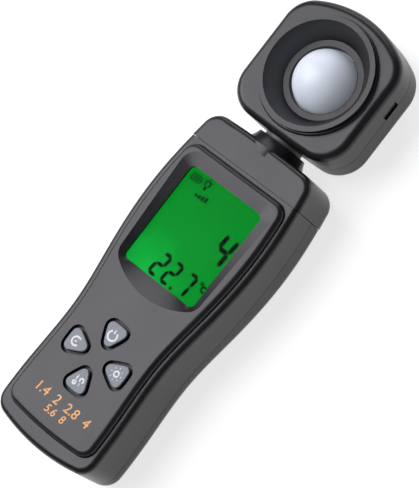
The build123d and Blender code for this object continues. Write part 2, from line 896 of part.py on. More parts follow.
# Keypad mat: silicone sheet on the board with a collar round each key's stem
with BuildPart() as keypad_mat:
    with BuildSketch(Plane.XY.offset(board_z)):
        with Locations((0, key_ring_y)):
            RectangleRounded(mat_width, mat_width, mat_corner)
    extrude(amount=mat_thickness)
    with BuildSketch(Plane.XY.offset(board_z)):
        with Locations(*[centre for centre, turn in keys_at.values()]):
            Circle(key_stem_radius + body_gap + mat_wall)
    extrude(amount=mat_collar_height)
    with BuildSketch(Plane.XY.offset(board_z)):
        with Locations(*[centre for centre, turn in keys_at.values()]):
            Circle(key_stem_radius + body_gap)
    extrude(amount=mat_collar_height, mode=Mode.SUBTRACT)
save(keypad_mat.part, "keypad_mat")

# Main circuit board and the parts soldered behind it
with BuildPart() as main_board:
    with BuildSketch(Plane.XY.offset(board_back_z)):
        add(board_plan)
        with Locations(*casing_screws_at):
            Circle(boss_radius + body_gap, mode=Mode.SUBTRACT)
        with Locations(*board_screws_at):
            Circle(small_shank_radius + pass_gap, mode=Mode.SUBTRACT)
    extrude(amount=board_thickness)
save(main_board.part, "main_board")

with BuildPart() as board_components:
    with BuildSketch(Plane.XY.offset(board_back_z)):
        with Locations((-round_package_step, display_mid_y)):
            Circle(round_package_radius)
    extrude(amount=-round_package_height)
    with BuildSketch(Plane.XY.offset(board_back_z)):
        for across, along, width, length in packages:
            with Locations((across, display_mid_y + along)):
                Rectangle(width, length)
    extrude(amount=-package_height)
save(board_components.part, "board_components")

# Battery cells, lying in turn one way and the other
with BuildPart() as battery_cells:
    for x, way in zip(cell_xs, cell_ways):
        tip_y = bay_top_y - plate_thickness if way > 0 else bay_foot_y + plate_thickness
        tail_end_y = tip_y - way * (cell_length + cell_nub_length)
        base = Plane((x, tail_end_y, cell_z), x_dir=(1, 0, 0), z_dir=(0, way, 0))
        with BuildSketch(base):
            Circle(cell_radius)
        extrude(amount=cell_length)
        with BuildSketch(base.offset(cell_length)):
            Circle(cell_nub_radius)
        extrude(amount=cell_nub_length)
save(battery_cells.part, "battery_cells")

# Coil springs at the cells' flat ends
with BuildPart() as cell_springs:
    for x, way in zip(cell_xs, cell_ways):
        seat_y = bay_foot_y + plate_thickness if way > 0 else bay_top_y - plate_thickness
        start = (x, seat_y + way * spring_end, cell_z)
        rise = spring_length - 2 * spring_end
        with BuildLine() as coil:
            Helix(rise / spring_turns, rise, spring_radius, center=start, direction=(0, way, 0))
        with BuildSketch(Plane(origin=coil.line @ 0, z_dir=coil.line % 0)):
            Circle(spring_wire / 2)
        sweep(path=coil.line, is_frenet=True)
save(cell_springs.part, "cell_springs")

# Contact plates against both end walls of the bay, which the springs and the cells' tips press on
with BuildPart() as contact_plates:
    for end_y, way in ((bay_foot_y, 1), (bay_top_y, -1)):
        with BuildSketch(Plane((0, end_y, cell_z), x_dir=(1, 0, 0), z_dir=(0, way, 0))):
            with Locations(*[(x, 0) for x in cell_xs]):
                RectangleRounded(plate_width, plate_width, plate_corner)
        extrude(amount=plate_thickness)
save(contact_plates.part, "contact_plates")

# Fasteners of the handset
with BuildPart() as casing_screws:
    for place in casing_screws_at:
        add(
            screw(
                place,
                screw_well_depth,
                screw_head_radius,
                screw_head_height,
                screw_shank_radius,
                screw_length,
            )
        )
save(casing_screws.part, "casing_screws")

with BuildPart() as board_screws:
    for place in board_screws_at:
        add(
            screw(
                place,
                board_back_z - small_head_height,
                small_head_radius,
                small_head_height,
                small_shank_radius,
                small_screw_length,
            )
        )
save(board_screws.part, "board_screws")

# Head front shell: collar, funnel and lip plate round the dome, snap windows, half of the spindle clamp
with BuildPart() as head_front_shell:
    with BuildSketch(swivel_plane.offset(seam_gap / 2)):
        add(head_plan(0))
    extrude(amount=head_front_depth - seam_gap / 2)
    fillet(head_front_shell.edges().group_by(Axis.Z)[-1], head_front_edge)
    with BuildSketch(swivel_plane):
        add(head_plan(wall))
    extrude(amount=head_front_depth - wall, mode=Mode.SUBTRACT)
    with BuildSketch(eye_plane):
        with BuildLine():
            Polyline(
                (ring_bore, lip_plate_z),
                (sensor_board_radius, lip_plate_z),
                (sensor_board_radius, head_front_z - wall / 2),
                (collar_radius + collar_root, head_front_z - wall / 2),
                (collar_radius + collar_root, head_front_z),
            )
            RadiusArc(
                (collar_radius + collar_root, head_front_z),
                (collar_radius, head_front_z + collar_root),
                -collar_root,
            )
            Polyline(
                (collar_radius, head_front_z + collar_root),
                (collar_radius, collar_z),
                (mouth_radius, collar_z),
                (funnel_foot_radius, funnel_z),
                (funnel_foot_radius, ring_foot_z),
                (ring_bore, ring_foot_z),
                (ring_bore, lip_plate_z),
            )
        make_face()
    revolve(axis=eye_axis)
    with BuildSketch(eye_plane):
        with BuildLine():
            Polyline(
                (0, lip_plate_z),
                (ring_bore, lip_plate_z),
                (ring_bore, ring_foot_z),
                (funnel_foot_radius, ring_foot_z),
                (funnel_foot_radius, funnel_z),
                (mouth_radius, collar_z),
                (0, collar_z),
                close=True,
            )
        make_face()
    revolve(axis=eye_axis, mode=Mode.SUBTRACT)
    with BuildSketch(swivel_plane.offset(seam_gap / 2)):
        with Locations((0, clamp_foot_y)):
            Rectangle(2 * clamp_half, clamp_length, align=(Align.CENTER, Align.MIN))
    extrude(amount=head_front_depth - wall)
    add(clamp_pocket(), mode=Mode.SUBTRACT)
    with BuildSketch(swivel_plane):
        with Locations(*head_screws_at):
            Circle(screw_shank_radius)
    extrude(amount=head_screw_length, mode=Mode.SUBTRACT)
    with BuildSketch(Plane.XY.offset(sensor_board_z)):
        with Locations(*sensor_screws_at):
            Circle(small_boss_radius)
    extrude(amount=lip_plate_z - sensor_board_z + lip_plate_thickness / 2)
    with BuildSketch(Plane.XY.offset(sensor_board_z)):
        with Locations(*sensor_screws_at):
            Circle(small_shank_radius)
    extrude(amount=small_screw_length - board_thickness, mode=Mode.SUBTRACT)
    with BuildSketch(swivel_plane):
        with Locations((0, slot_y)):
            Rectangle(3 * head_half, slot_length)
    extrude(amount=slot_width, mode=Mode.SUBTRACT)
save(head_front_shell.part, "head_front_shell")

# Head rear shell: back half, with its snap hooks, the other half of the clamp and the screw wells
with BuildPart() as head_rear_shell:
    with BuildSketch(Plane.XY.offset(head_back_z)):
        add(head_plan(0))
    extrude(amount=head_back_depth - seam_gap / 2)
    fillet(head_rear_shell.edges().group_by(Axis.Z)[0], head_back_edge)
    with BuildSketch(Plane.XY.offset(head_back_z + wall)):
        add(head_plan(wall + head_rear_extra))
    extrude(amount=head_back_depth, mode=Mode.SUBTRACT)
    with BuildSketch(Plane.XY.offset(head_back_z + wall / 2)):
        with Locations((0, clamp_foot_y)):
            Rectangle(2 * clamp_half, clamp_length, align=(Align.CENTER, Align.MIN))
    extrude(amount=head_back_depth - wall / 2 - seam_gap / 2)
    add(clamp_pocket(), mode=Mode.SUBTRACT)
    with BuildSketch(Plane.XY.offset(head_back_z)):
        with Locations(*head_screws_at):
            Circle(screw_head_radius + pass_gap)
    extrude(amount=head_well_depth, mode=Mode.SUBTRACT)
    with BuildSketch(Plane.XY.offset(head_back_z)):
        with Locations(*head_screws_at):
            Circle(screw_shank_radius + pass_gap)
    extrude(amount=head_back_depth, mode=Mode.SUBTRACT)
    for side in (-1, 1):
        hook_x = side * (head_half - wall - body_gap)
        with BuildSketch(Plane((hook_x, slot_y, swivel_z), x_dir=(side, 0, 0), z_dir=(0, -side, 0))):
            with BuildLine():
                Polyline(
                    (-hook_thickness, -hook_root),
                    (0, -hook_root),
                    (0, fit_gap),
                    (wall + body_gap - hook_recess, fit_gap),
                    (0, slot_width - fit_gap),
                    (-hook_thickness, slot_width - fit_gap),
                    close=True,
                )
            make_face()
        extrude(amount=slot_length / 2 - body_gap, both=True)
        with BuildSketch(Plane.XY.offset(swivel_z - hook_root)):
            with Locations((hook_x, slot_y)):
                Rectangle(2 * wall, slot_length - 2 * body_gap)
        extrude(amount=hook_root - seam_gap / 2)
save(head_rear_shell.part, "head_rear_shell")

# Bezel ring on the lip plate, and the milky dome that comes through it
with BuildPart() as bezel_ring:
    with BuildSketch(Plane.XY.offset(ring_foot_z)):
        with Locations((0, eye_y)):
            Circle(funnel_foot_radius - ring_gap)
            Circle(ring_bore, mode=Mode.SUBTRACT)
    extrude(amount=ring_thickness)
    fillet(bezel_ring.edges().group_by(Axis.Z)[-1].sort_by(SortBy.RADIUS)[0], ring_edge_radius)
save(bezel_ring.part, "bezel_ring")

with BuildPart() as dome_diffuser:
    with BuildSketch(eye_plane):
        with BuildLine():
            Line((0, dome_centre_z + dome_radius - dome_wall), (0, dome_centre_z + dome_radius))
            RadiusArc((0, dome_centre_z + dome_radius), (dome_radius, dome_centre_z), dome_radius)
            Polyline(
                (dome_radius, dome_centre_z),
                (dome_radius, flange_top_z),
                (dome_flange_radius, flange_top_z),
                (dome_flange_radius, holder_top_z),
                (dome_radius - dome_wall, holder_top_z),
                (dome_radius - dome_wall, dome_centre_z),
            )
            RadiusArc(
                (dome_radius - dome_wall, dome_centre_z),
                (0, dome_centre_z + dome_radius - dome_wall),
                dome_wall - dome_radius,
            )
        make_face()
    revolve(axis=eye_axis)
save(dome_diffuser.part, "dome_diffuser")

# Sensor stack: holder that presses the dome home, colour filter, photodiode and its board
with BuildPart() as sensor_holder:
    with BuildSketch(Plane.XY.offset(sensor_board_z)):
        with Locations((0, eye_y)):
            Circle(dome_flange_radius)
            Circle(filter_radius + fit_gap, mode=Mode.SUBTRACT)
        with Locations(*sensor_screws_at):
            Circle(small_boss_radius + fit_gap, mode=Mode.SUBTRACT)
    extrude(amount=holder_thickness)
    with BuildSketch(Plane.XY.offset(sensor_board_z)):
        with Locations((0, eye_y)):
            Rectangle(diode_size + 2 * fit_gap, diode_size + 2 * fit_gap)
    extrude(amount=diode_height + fit_gap, mode=Mode.SUBTRACT)
save(sensor_holder.part, "sensor_holder")

with BuildPart() as colour_filter:
    with BuildSketch(Plane.XY.offset(sensor_board_z + diode_height + fit_gap)):
        with Locations((0, eye_y)):
            Circle(filter_radius)
    extrude(amount=filter_thickness)
save(colour_filter.part, "colour_filter")

with BuildPart() as photodiode:
    with BuildSketch(Plane.XY.offset(sensor_board_z)):
        with Locations((0, eye_y)):
            Rectangle(diode_size, diode_size)
    extrude(amount=diode_height)
save(photodiode.part, "photodiode")

with BuildPart() as sensor_board:
    with BuildSketch(Plane.XY.offset(sensor_board_z - board_thickness)):
        with Locations((0, eye_y)):
            Circle(sensor_board_radius)
        with Locations((0, eye_y - sensor_board_flat)):
            Rectangle(clear_reach, sensor_board_radius, align=(Align.CENTER, Align.MAX), mode=Mode.SUBTRACT)
        with Locations(*sensor_screws_at):
            Circle(small_shank_radius + pass_gap, mode=Mode.SUBTRACT)
    extrude(amount=board_thickness)
save(sensor_board.part, "sensor_board")

# Fasteners of the head
with BuildPart() as sensor_screws:
    for place in sensor_screws_at:
        add(
            screw(
                place,
                sensor_board_z - board_thickness - small_head_height,
                small_head_radius,
                small_head_height,
                small_shank_radius,
                small_screw_length,
            )
        )
save(sensor_screws.part, "sensor_screws")

with BuildPart() as head_screws:
    for place in head_screws_at:
        add(
            screw(
                place,
                head_back_z + head_well_depth - screw_head_height,
                screw_head_radius,
                screw_head_height,
                screw_shank_radius,
                swivel_z - head_back_z - head_well_depth + head_screw_length - shank_gap,
            )
        )
save(head_screws.part, "head_screws")

# Swivel: hollow spindle clamped in the head, its clip and spring washer in the cap, and the outer washer
with BuildPart() as swivel_spindle:
    with BuildSketch(swivel_plane):
        with Locations((0, spindle_foot_y)):
            Rectangle(spindle_radius, flange_y - spindle_foot_y, align=Align.MIN)
    revolve(axis=swivel_axis)
    with BuildSketch(swivel_plane):
        with Locations((0, flange_y)):
            Rectangle(2 * flange_half, spindle_flange)
    extrude(amount=flange_half, both=True)
    with BuildSketch(swivel_plane):
        with Locations((0, groove_y)):
            Rectangle(spindle_radius, groove_width, align=Align.MIN)
            Rectangle(spindle_radius - groove_depth, groove_width, align=Align.MIN, mode=Mode.SUBTRACT)
    revolve(axis=swivel_axis, mode=Mode.SUBTRACT)
    with BuildSketch(swivel_plane):
        with Locations((0, spindle_foot_y)):
            Rectangle(spindle_bore, casing_length, align=Align.MIN)
    revolve(axis=swivel_axis, mode=Mode.SUBTRACT)
save(swivel_spindle.part, "swivel_spindle")


def ring(inner, outer, foot, thickness):
    """Flat ring round the swivel axis."""
    with BuildPart() as body:
        with BuildSketch(Plane((0, foot, swivel_z), x_dir=(1, 0, 0), z_dir=(0, 1, 0))):
            Circle(outer)
            Circle(inner, mode=Mode.SUBTRACT)
        extrude(amount=thickness)
    return body.part


clip_bore = spindle_radius - groove_depth + clip_gap
clip = ring(clip_bore, clip_radius, groove_y + running_fit / 2, clip_thickness)
save(clip, "retaining_clip")
journal_bore = spindle_radius + running_fit
wave = ring(journal_bore, clip_radius, wave_y, wave_thickness)
save(wave, "spring_washer")
washer = ring(journal_bore, washer_radius, bell_top_y + running_fit, washer_gap - 2 * running_fit)
save(washer, "swivel_washer")


def lead(points, radius):
    """Round lead of straight runs joined by tangent arcs, each as large as its runs allow."""
    radii = []
    for before, corner, after in zip(points, points[1:], points[2:]):
        arrive = Vector(*corner) - Vector(*before)
        leave = Vector(*after) - Vector(*corner)
        turn = radians(arrive.get_angle(leave))
        radii.append(0.45 * min(arrive.length, leave.length) / tan(turn / 2))
    with BuildPart() as cord:
        with BuildLine() as route:
            FilletPolyline(*points, radius=radii)
        with BuildSketch(Plane(origin=route.line @ 0, z_dir=route.line % 0)):
            Circle(radius)
        sweep(path=route.line)
    return cord.part


# Sensor lead: along the spindle's bore, where its two lengths meet and take the twist of the swivel
tail_route = [
    (0, eye_y - sensor_board_flat + lead_tail_length, lead_pad_z),
    (0, eye_y - sensor_board_flat - running_gap, lead_pad_z),
    (0, flange_y, swivel_z),
    (0, lead_meet_y, swivel_z),
]
save(lead(tail_route, lead_radius), "head_lead")
main_route = [
    (0, lead_meet_y - lead_meet_gap, swivel_z),
    (0, spindle_foot_y - lead_run_in, swivel_z),
    (lead_side_step, spindle_foot_y - lead_run_out, lead_plug_z),
    (lead_side_step, plug_top_y, lead_plug_z),
]
save(lead(main_route, lead_radius), "main_lead")

with BuildPart() as lead_plug:
    with BuildSketch(Plane.XY.offset(plug_foot_z)):
        with Locations((lead_side_step, plug_top_y)):
            Rectangle(plug_width, plug_length, align=(Align.CENTER, Align.MAX))
    extrude(amount=board_back_z - plug_foot_z)
save(lead_plug.part, "lead_plug")
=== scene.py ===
from math import cos, radians, sin

import bmesh
import bpy
import numpy as np
from mathutils import Matrix, Vector


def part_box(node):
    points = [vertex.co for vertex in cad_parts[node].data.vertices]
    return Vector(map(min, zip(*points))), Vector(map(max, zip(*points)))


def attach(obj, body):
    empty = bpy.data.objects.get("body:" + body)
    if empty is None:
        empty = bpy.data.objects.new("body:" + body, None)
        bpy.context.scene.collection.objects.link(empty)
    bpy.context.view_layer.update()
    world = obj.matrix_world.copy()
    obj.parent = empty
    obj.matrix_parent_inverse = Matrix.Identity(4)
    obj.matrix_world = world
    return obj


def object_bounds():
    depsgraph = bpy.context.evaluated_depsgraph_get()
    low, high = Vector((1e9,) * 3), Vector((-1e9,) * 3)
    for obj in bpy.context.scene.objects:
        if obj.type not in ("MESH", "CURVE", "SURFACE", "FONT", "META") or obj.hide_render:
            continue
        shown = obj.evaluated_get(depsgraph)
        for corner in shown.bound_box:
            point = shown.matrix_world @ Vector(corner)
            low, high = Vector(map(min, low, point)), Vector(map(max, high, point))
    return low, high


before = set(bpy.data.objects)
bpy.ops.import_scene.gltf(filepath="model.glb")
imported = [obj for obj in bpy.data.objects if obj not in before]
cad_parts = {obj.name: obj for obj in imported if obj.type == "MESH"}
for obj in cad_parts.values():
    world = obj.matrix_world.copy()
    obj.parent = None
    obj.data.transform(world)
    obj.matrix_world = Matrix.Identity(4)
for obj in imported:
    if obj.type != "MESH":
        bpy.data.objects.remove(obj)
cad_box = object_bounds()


# Rear casing: the back half of the handset, moulded in black ABS. The tool is spark-eroded, so
# the skin has a fine satin grain, and the hand polishes it a little in broad patches.
def blank(name):
    """A new material, as (material, add, join, shader, place).

    add makes a node with the settings given, join wires one socket to another, and place is the
    output with the piece's own coordinates in metres.
    """
    material = bpy.data.materials.new(name)
    material.use_nodes = True
    tree = material.node_tree
    shader = tree.nodes["Principled BSDF"]

    def add(kind, inputs=(), **settings):
        node = tree.nodes.new("ShaderNode" + kind)
        for key, value in settings.items():
            setattr(node, key, value)
        for key, value in dict(inputs).items():
            node.inputs[key].default_value = value
        return node

    def join(source, target):
        tree.links.new(source, target)

    return material, add, join, shader, add("TexCoord").outputs["Object"]


def shades(add, join, source, stops):
    """Colour ramp output: source picks a colour between the (position, colour) stops."""
    ramp = add("ValToRGB")
    band = ramp.color_ramp
    while len(band.elements) < len(stops):
        band.elements.new(0.5)
    for element, (position, colour) in zip(band.elements, stops):
        element.position = position
        element.color = (*colour, 1.0)
    join(source, ramp.inputs["Fac"])
    return ramp.outputs["Color"]


def spread(add, join, source, low, high):
    """Number output: source from 0.3 to 0.7, where a noise mostly lies, read as low to high."""
    ranged = add("MapRange", {"From Min": 0.3, "From Max": 0.7, "To Min": low, "To Max": high})
    join(source, ranged.inputs["Value"])
    return ranged.outputs["Result"]


def moulded(name, colour, gloss, grain_per_metre, grain_depth, patch_per_metre=70.0, gain=0.18):
    """Moulded plastic: colour and roughness drift over broad patches, and a fine grain stands
    grain_depth metres high. gloss is the pair of roughness values the patches run between."""
    material, add, join, shader, place = blank(name)
    patch = add("TexNoise", {"Scale": patch_per_metre, "Detail": 3.0, "Roughness": 0.55})
    grain = add("TexNoise", {"Scale": grain_per_metre, "Detail": 2.0, "Roughness": 0.7})
    join(place, patch.inputs["Vector"])
    join(place, grain.inputs["Vector"])
    dark = tuple(channel * (1 - gain) for channel in colour)
    pale = tuple(channel * (1 + gain) for channel in colour)
    join(shades(add, join, patch.outputs["Fac"], [(0.3, dark), (0.7, pale)]), shader.inputs["Base Color"])
    join(spread(add, join, patch.outputs["Fac"], *gloss), shader.inputs["Roughness"])
    bump = add("Bump", {"Strength": 1.0, "Distance": grain_depth})
    join(grain.outputs["Fac"], bump.inputs["Height"])
    join(bump.outputs["Normal"], shader.inputs["Normal"])
    shader.inputs["Specular IOR Level"].default_value = 0.43
    return material


def dress(material, *names):
    """Gives the frame's own solids of these names this material."""
    for name in names:
        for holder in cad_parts[name].material_slots:
            holder.material = material


shell_black = (0.0085, 0.0082, 0.0096)
dress(moulded("rear_casing_satin", shell_black, (0.33, 0.40), 4200.0, 6e-6), "rear_casing")

# Contact plates: small plates of nickel-plated spring steel that stand against the two end walls
# of the battery bay. The plating is bright, with drawing lines along the strip.
def plated(name, colour, rough, lines_per_metre, stretch):
    """Plated metal: a bright coat with drawing lines, which are a noise drawn out along the
    axis whose stretch is small, and cloudier spots where it has dulled."""
    material, add, join, shader, place = blank(name)
    drawn = add("Mapping", {"Scale": stretch})
    join(place, drawn.inputs["Vector"])
    lines = add("TexNoise", {"Scale": lines_per_metre, "Detail": 4.0, "Roughness": 0.6})
    join(drawn.outputs["Vector"], lines.inputs["Vector"])
    cloud = add("TexNoise", {"Scale": 260.0, "Detail": 3.0})
    join(place, cloud.inputs["Vector"])
    dull = tuple(channel * 0.72 for channel in colour)
    join(shades(add, join, cloud.outputs["Fac"], [(0.32, dull), (0.6, colour)]),
         shader.inputs["Base Color"])
    join(spread(add, join, lines.outputs["Fac"], rough - 0.07, rough + 0.12), shader.inputs["Roughness"])
    shader.inputs["Metallic"].default_value = 1.0
    bump = add("Bump", {"Strength": 1.0, "Distance": 2e-6})
    join(lines.outputs["Fac"], bump.inputs["Height"])
    join(bump.outputs["Normal"], shader.inputs["Normal"])
    return material


nickel = (0.62, 0.60, 0.56)
dress(plated("contact_nickel", nickel, 0.26, 2600.0, (1.0, 1.0, 0.08)), "contact_plates")

# Cell springs: coils of hard-drawn steel wire, nickel-plated and staked to the plates. The wire
# keeps the marks of the die that it was drawn through.
dress(plated("spring_nickel", (0.66, 0.65, 0.62), 0.22, 3400.0, (1.0, 0.15, 1.0)), "cell_springs")

# Battery cells: three AAA cells lying side by side in the grip. Each has a printed shrink sleeve,
# dark and shading to gold twice along its length, and bare steel ends.
material, add, join, shader, place = blank("cell_sleeve")
split = add("SeparateXYZ")
join(place, split.inputs["Vector"])
along = add("MapRange", {"From Min": -0.0861, "From Max": -0.0380, "To Min": 0.0, "To Max": 1.0})
join(split.outputs["Y"], along.inputs["Value"])
ink = (0.014, 0.018, 0.030)
sleeve = shades(add, join, along.outputs["Result"], [
    (0.0, (0.55, 0.54, 0.52)), (0.03, ink), (0.30, (0.45, 0.24, 0.05)), (0.36, (0.012, 0.014, 0.024)),
    (0.64, (0.40, 0.21, 0.045)), (0.70, ink), (0.955, ink), (0.97, (0.60, 0.59, 0.57))])
shader.inputs["Metallic"].default_value = 0.55
film = add("TexNoise", {"Scale": 500.0, "Detail": 3.0})
join(place, film.inputs["Vector"])
join(sleeve, shader.inputs["Base Color"])
join(spread(add, join, film.outputs["Fac"], 0.24, 0.36), shader.inputs["Roughness"])
ripple = add("Bump", {"Strength": 1.0, "Distance": 1.2e-5})
join(film.outputs["Fac"], ripple.inputs["Height"])
join(ripple.outputs["Normal"], shader.inputs["Normal"])
dress(material, "battery_cells")

# Main board: a 1.6 mm fibreglass board under green solder resist. The copper tracks show
# through it as paler runs, and the glass weave shows as a fine cross grain.
def circuit(name, resist, track, tracks_per_metre):
    """Circuit board: solder resist whose paler tracks follow the cell edges of a square Voronoi
    pattern, over the fine cross grain of the glass cloth."""
    material, add, join, shader, place = blank(name)
    runs = add("TexVoronoi", {"Scale": tracks_per_metre, "Randomness": 0.55}, feature="DISTANCE_TO_EDGE")
    cloth = add("TexWave", {"Scale": 900.0, "Distortion": 1.5, "Detail": 1.0})
    join(place, runs.inputs["Vector"])
    join(place, cloth.inputs["Vector"])
    join(shades(add, join, runs.outputs["Distance"], [(0.05, track), (0.09, resist)]),
         shader.inputs["Base Color"])
    shader.inputs["Coat Weight"].default_value = 0.5
    join(spread(add, join, cloth.outputs["Fac"], 0.30, 0.42), shader.inputs["Roughness"])
    bump = add("Bump", {"Strength": 1.0, "Distance": 8e-6})
    join(cloth.outputs["Fac"], bump.inputs["Height"])
    join(bump.outputs["Normal"], shader.inputs["Normal"])
    return material


dress(circuit("main_board_resist", (0.010, 0.085, 0.030), (0.03, 0.19, 0.07), 260.0), "main_board")

# Board components: black epoxy packages soldered to the main board. They are moulded, so their
# tops are matt.
dress(moulded("epoxy_package", (0.018, 0.018, 0.019), (0.5, 0.65), 5200.0, 9e-6),
      "board_components")

# Board screws: self-tapping steel screws that hold the main board on its bosses. They are
# zinc-plated, with a slight blue cast.
dress(plated("screw_zinc", (0.58, 0.60, 0.64), 0.30, 2200.0, (1.0, 1.0, 0.3)), "board_screws")

# Display backlight: a slab of acrylic edge-lit in green, lying in the frame under the glass. It
# spreads the light, so it looks milky green from the side.
dress(moulded("light_guide_acrylic", (0.10, 0.42, 0.14), (0.15, 0.25), 1800.0, 1e-5),
      "display_backlight")

# Contact strip: layered silicone rubber, conducting and clear in turn every quarter of a
# millimetre, squeezed between the glass and the board.
material, add, join, shader, place = blank("striped_silicone")
layers = add("TexWave", {"Scale": 1250.0, "Distortion": 0.0}, bands_direction="X")
join(place, layers.inputs["Vector"])
join(shades(add, join, layers.outputs["Fac"], [(0.4, (0.55, 0.22, 0.24)), (0.6, (0.05, 0.03, 0.035))]),
     shader.inputs["Base Color"])
soft = add("TexNoise", {"Scale": 900.0})
join(place, soft.inputs["Vector"])
join(spread(add, join, soft.outputs["Fac"], 0.5, 0.7), shader.inputs["Roughness"])
dress(material, "contact_strip")

# Display frame: white moulded plastic that holds the glass, strip and light guide together and
# stands on the board by its corners.
dress(moulded("frame_white_abs", (0.68, 0.69, 0.68), (0.35, 0.45), 3000.0, 6e-6, gain=0.06),
      "display_frame")

# Display glass: two sheets with liquid crystal between them, lit green from behind. The light
# comes from the foot of the guide, so the lower left of the field is brighter.
glass_low, glass_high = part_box("display_glass")
field_green = (0.0012, 0.283, 0.020)
bright_green = (0.0030, 0.470, 0.052)
edge_green = (0.0010, 0.245, 0.015)
material, add, join, shader, place = blank("display_field")
bright_spot = add("VectorMath", operation="DISTANCE")
join(place, bright_spot.inputs[0])
bright_spot.inputs[1].default_value = (-0.0085, glass_low.y + 0.001, glass_high.z)
near = add("MapRange", {"From Min": 0.0, "From Max": 0.040, "To Min": 0.0, "To Max": 1.0})
join(bright_spot.outputs["Value"], near.inputs["Value"])
mottle = add("TexNoise", {"Scale": 160.0, "Detail": 2.0, "Roughness": 0.5})
join(place, mottle.inputs["Vector"])
drift = add("MapRange", {"From Min": 0.3, "From Max": 0.7, "To Min": -0.06, "To Max": 0.06})
join(mottle.outputs["Fac"], drift.inputs["Value"])
spot = add("Math", operation="ADD")
join(near.outputs["Result"], spot.inputs[0])
join(drift.outputs["Result"], spot.inputs[1])
glow = shades(add, join, spot.outputs["Value"],
              [(0.0, bright_green), (0.42, field_green), (1.0, edge_green)])
join(glow, shader.inputs["Emission Color"])
shader.inputs["Emission Strength"].default_value = 1.0
shader.inputs["Base Color"].default_value = (0.001, 0.010, 0.003, 1.0)
shader.inputs["Specular IOR Level"].default_value = 0.0
join(spread(add, join, mottle.outputs["Fac"], 0.45, 0.55), shader.inputs["Roughness"])
dress(material, "display_glass")


# Display figures: the segments that the glass darkens, a reading of one large figure, a smaller
# one of three with a point, and small signs for the cells, the lamp, the range and the degree.
def carried(path, half_width, section, base, rise):
    """Solid bar along a flat path. Point (i, j) is the path's point i, moved sideways by its half
    width there times the section's first number j, and up to base plus rise times the second.
    The section goes round anticlockwise as seen with the path coming forward."""
    path = np.asarray(path, float)
    half_width = np.asarray(half_width, float)
    section = np.asarray(section, float)
    step = np.gradient(path, axis=0)
    step /= np.maximum(np.linalg.norm(step, axis=1, keepdims=True), 1e-12)
    side = np.stack([step[:, 1], -step[:, 0]], axis=1)
    flat = path[:, None, :] + side[:, None, :] * (half_width[:, None] * section[None, :, 0])[:, :, None]
    height = np.broadcast_to(base + rise * section[None, :, 1], flat.shape[:2])
    return np.concatenate([flat, height[:, :, None]], axis=2)


def tube_faces(rows, columns):
    """Quads of a grid whose columns close on themselves, with its two end rows as faces."""
    i, j = np.meshgrid(np.arange(rows - 1), np.arange(columns), indexing="ij")
    k = (j + 1) % columns
    quads = np.stack([i * columns + j, i * columns + k,
                      (i + 1) * columns + k, (i + 1) * columns + j], axis=-1)
    first, last = np.arange(columns)[::-1], (rows - 1) * columns + np.arange(columns)
    return quads.reshape(-1, 4).tolist() + [first.tolist(), last.tolist()]


def solid(name, grids, material, body, smooth=False):
    """One object from several closed bars: their grids end to end in one mesh, which has its
    doubles merged and its normals turned outwards, riding on a body of the frame."""
    points, faces, start = [], [], 0
    for grid in grids:
        rows, columns = grid.shape[:2]
        points.append(grid.reshape(-1, 3))
        faces += [[start + corner for corner in face] for face in tube_faces(rows, columns)]
        start += rows * columns
    mesh = bpy.data.meshes.new(name)
    mesh.from_pydata(np.concatenate(points).tolist(), [], faces)
    shape = bpy.data.objects.new(name, mesh)
    bpy.context.scene.collection.objects.link(shape)
    tidy(mesh)
    mesh.polygons.foreach_set("use_smooth", np.full(len(mesh.polygons), smooth))
    mesh.materials.append(material)
    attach(shape, body)


def tidy(mesh):
    """Merges a mesh's doubled points, drops faces of no area and turns the rest outwards."""
    work = bmesh.new()
    work.from_mesh(mesh)
    bmesh.ops.remove_doubles(work, verts=work.verts, dist=2e-7)
    bmesh.ops.dissolve_degenerate(work, edges=work.edges, dist=2e-7)
    bmesh.ops.recalc_face_normals(work, faces=work.faces)
    work.to_mesh(mesh)
    work.free()


print_base = glass_high.z + 1e-5
print_rise = 5e-5
flat_bar = ((1, 0), (1, 1), (-1, 1), (-1, 0))


def segment(start, end, half):
    """Bar of a figure from start to end, pointed at both ends by its own half width."""
    start, end = np.asarray(start, float), np.asarray(end, float)
    length = np.linalg.norm(end - start)
    along = np.array([0.0, half, length - half, length]) / length
    return carried(start + along[:, None] * (end - start), [half * 0.05, half, half, half * 0.05],
                   flat_bar, print_base, print_rise)


def figure(lit, corner, width, height, half, lean):
    """The lit bars of a seven-bar figure, named a to g clockwise from the top with g across the
    middle. corner is its lower left, and lean moves each point right by that much of its rise."""
    gap = 0.00012
    left, right, foot, waist, top = half, width - half, half, height / 2, height - half
    ends = {
        "a": ((left, top), (right, top)), "b": ((right, top), (right, waist)),
        "c": ((right, waist), (right, foot)), "d": ((left, foot), (right, foot)),
        "e": ((left, waist), (left, foot)), "f": ((left, top), (left, waist)),
        "g": ((left, waist), (right, waist)),
    }
    bars = []
    for name in lit:
        start, end = (np.array(point, float) for point in ends[name])
        way = (end - start) / np.linalg.norm(end - start)
        pair = []
        for point in (start + way * gap, end - way * gap):
            pair.append((corner[0] + point[0] + lean * point[1], corner[1] + point[1]))
        bars.append(segment(pair[0], pair[1], half))
    return bars


def stroke(points, half):
    """Flat printed line of one width through the points, closed flat at both ends."""
    return carried(points, np.full(len(points), half), flat_bar, print_base, print_rise)


def arc(centre, radius, first, last, steps=24):
    """Points on an arc between two angles in degrees, anticlockwise from the right."""
    angle = np.radians(np.linspace(first, last, steps))
    return np.stack([centre[0] + radius * np.cos(angle), centre[1] + radius * np.sin(angle)], axis=1)


figures = figure("fgbc", (0.0086, -0.0071), 0.0062, 0.0131, 0.00088, 0.09)
for across, lit in ((-0.0072, "abged"), (-0.0013, "abged"), (0.0058, "abc")):
    figures += figure(lit, (across, -0.0225), 0.0047, 0.0098, 0.00066, 0.13)
figures.append(stroke([(0.0041, -0.0219), (0.0052, -0.0219)], 0.00055))
